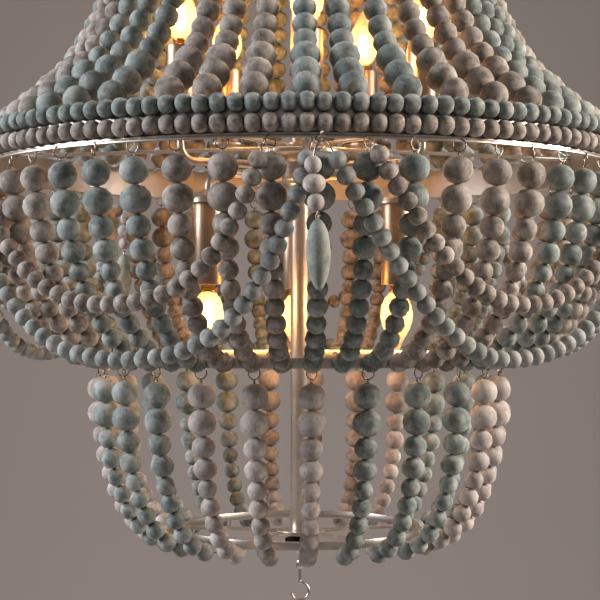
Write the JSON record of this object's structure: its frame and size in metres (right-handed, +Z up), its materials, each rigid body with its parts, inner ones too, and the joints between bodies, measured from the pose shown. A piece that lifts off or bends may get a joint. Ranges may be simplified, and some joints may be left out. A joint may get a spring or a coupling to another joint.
{
  "type": "chandelier",
  "caption": "Tiered chandelier of wooden beads strung between metal rings, with draped swags, spindle pendants and candle lights.",
  "frame": {"origin": "middle of the mounting bar's top face, on the ceiling", "axes": "+Z up, -Y the front, +X to the right as seen from the front"},
  "size_m": [0.6866, 0.6753, 1.1025],
  "materials": {
    "taupe_wood": "washed taupe",
    "green_wood": "washed blue-green",
    "pale_wood": "washed pale grey",
    "satin_metal": "satin champagne silver",
    "candle_metal": "satin champagne",
    "dark_metal": "satin black",
    "bulb_glass": "clear"
  },
  "bodies": {
    "ceiling_mount": {"mounting_bar": "satin_metal", "ceiling_canopy": "satin_metal", "canopy_collar": "satin_metal"},
    "first_link": {"chain_link_1": "satin_metal"},
    "second_link": {"chain_link_2": "satin_metal"},
    "third_link": {"chain_link_3": "satin_metal"},
    "frame": {"upper_tier": "taupe_wood", "middle_tier": "taupe_wood", "lower_tier": "green_wood", "rim_ring": "satin_metal", "rim_spokes": "satin_metal", "lower_rim_beads": "taupe_wood", "upper_rim_beads": "green_wood", "long_swag_1": "green_wood", "long_swag_2": "green_wood", "long_swag_3": "green_wood", "long_swag_4": "green_wood", "long_swag_5": "green_wood", "short_swag_1": "taupe_wood", "short_swag_2": "taupe_wood", "short_swag_3": "taupe_wood", "short_swag_4": "taupe_wood", "short_swag_5": "taupe_wood", "center_stem": "satin_metal", "stem_nut": "dark_metal", "arm_hub": "satin_metal", "arm_1": "satin_metal", "arm_2": "satin_metal", "arm_3": "satin_metal", "arm_4": "satin_metal", "arm_5": "satin_metal", "arm_6": "satin_metal", "arm_7": "satin_metal", "arm_8": "satin_metal", "candle_sleeve_1": "candle_metal", "candle_sleeve_2": "candle_metal", "candle_sleeve_3": "candle_metal", "candle_sleeve_4": "candle_metal", "candle_sleeve_5": "candle_metal", "candle_sleeve_6": "candle_metal", "candle_sleeve_7": "candle_metal", "candle_sleeve_8": "candle_metal", "bulb_1": "bulb_glass", "bulb_2": "bulb_glass", "bulb_3": "bulb_glass", "bulb_4": "bulb_glass", "bulb_5": "bulb_glass", "bulb_6": "bulb_glass", "bulb_7": "bulb_glass", "bulb_8": "bulb_glass", "finial_knob": "satin_metal", "stem_loop": "satin_metal"},
    "pendant_1": {"pendant_1": "pale_wood"},
    "pendant_2": {"pendant_2": "pale_wood"},
    "pendant_3": {"pendant_3": "pale_wood"},
    "pendant_4": {"pendant_4": "pale_wood"},
    "pendant_5": {"pendant_5": "pale_wood"},
    "hook": {"finial_hook": "satin_metal"}
  },
  "joints": [
    {"name": "first_link_swing", "type": "hinge", "parent": "ceiling_mount", "child": "first_link", "pos_m": [0, 0, -0.0592], "axis": [1, 0, 0], "range_deg": [-15, 15]},
    {"name": "second_link_swing", "type": "hinge", "parent": "first_link", "child": "second_link", "pos_m": [0, 0, -0.0901], "axis": [0, 1, 0], "range_deg": [-15, 15]},
    {"name": "third_link_swing", "type": "hinge", "parent": "second_link", "child": "third_link", "pos_m": [0, 0, -0.121], "axis": [1, 0, 0], "range_deg": [-15, 15]},
    {"name": "frame_swing", "type": "hinge", "parent": "third_link", "child": "frame", "pos_m": [0, 0, -0.1519], "axis": [0, 1, 0], "range_deg": [-15, 15]},
    {"name": "pendant_1_swing", "type": "hinge", "parent": "frame", "child": "pendant_1", "pos_m": [0, -0.337, -0.67], "axis": [1, 0, 0], "range_deg": [-25, 2]},
    {"name": "pendant_2_swing", "type": "hinge", "parent": "frame", "child": "pendant_2", "pos_m": [0.32051, -0.10414, -0.67], "axis": [0.309, 0.9511, 0], "range_deg": [-25, 2]},
    {"name": "pendant_3_swing", "type": "hinge", "parent": "frame", "child": "pendant_3", "pos_m": [0.19808, 0.27264, -0.67], "axis": [-0.809, 0.5878, 0], "range_deg": [-25, 2]},
    {"name": "pendant_4_swing", "type": "hinge", "parent": "frame", "child": "pendant_4", "pos_m": [-0.19808, 0.27264, -0.67], "axis": [-0.809, -0.5878, 0], "range_deg": [-25, 2]},
    {"name": "pendant_5_swing", "type": "hinge", "parent": "frame", "child": "pendant_5", "pos_m": [-0.32051, -0.10414, -0.67], "axis": [0.309, -0.9511, 0], "range_deg": [-25, 2]},
    {"name": "hook_swing", "type": "hinge", "parent": "frame", "child": "hook", "pos_m": [0, 0, -1.0526], "axis": [1, 0, 0], "range_deg": [-15, 15]}
  ]
}
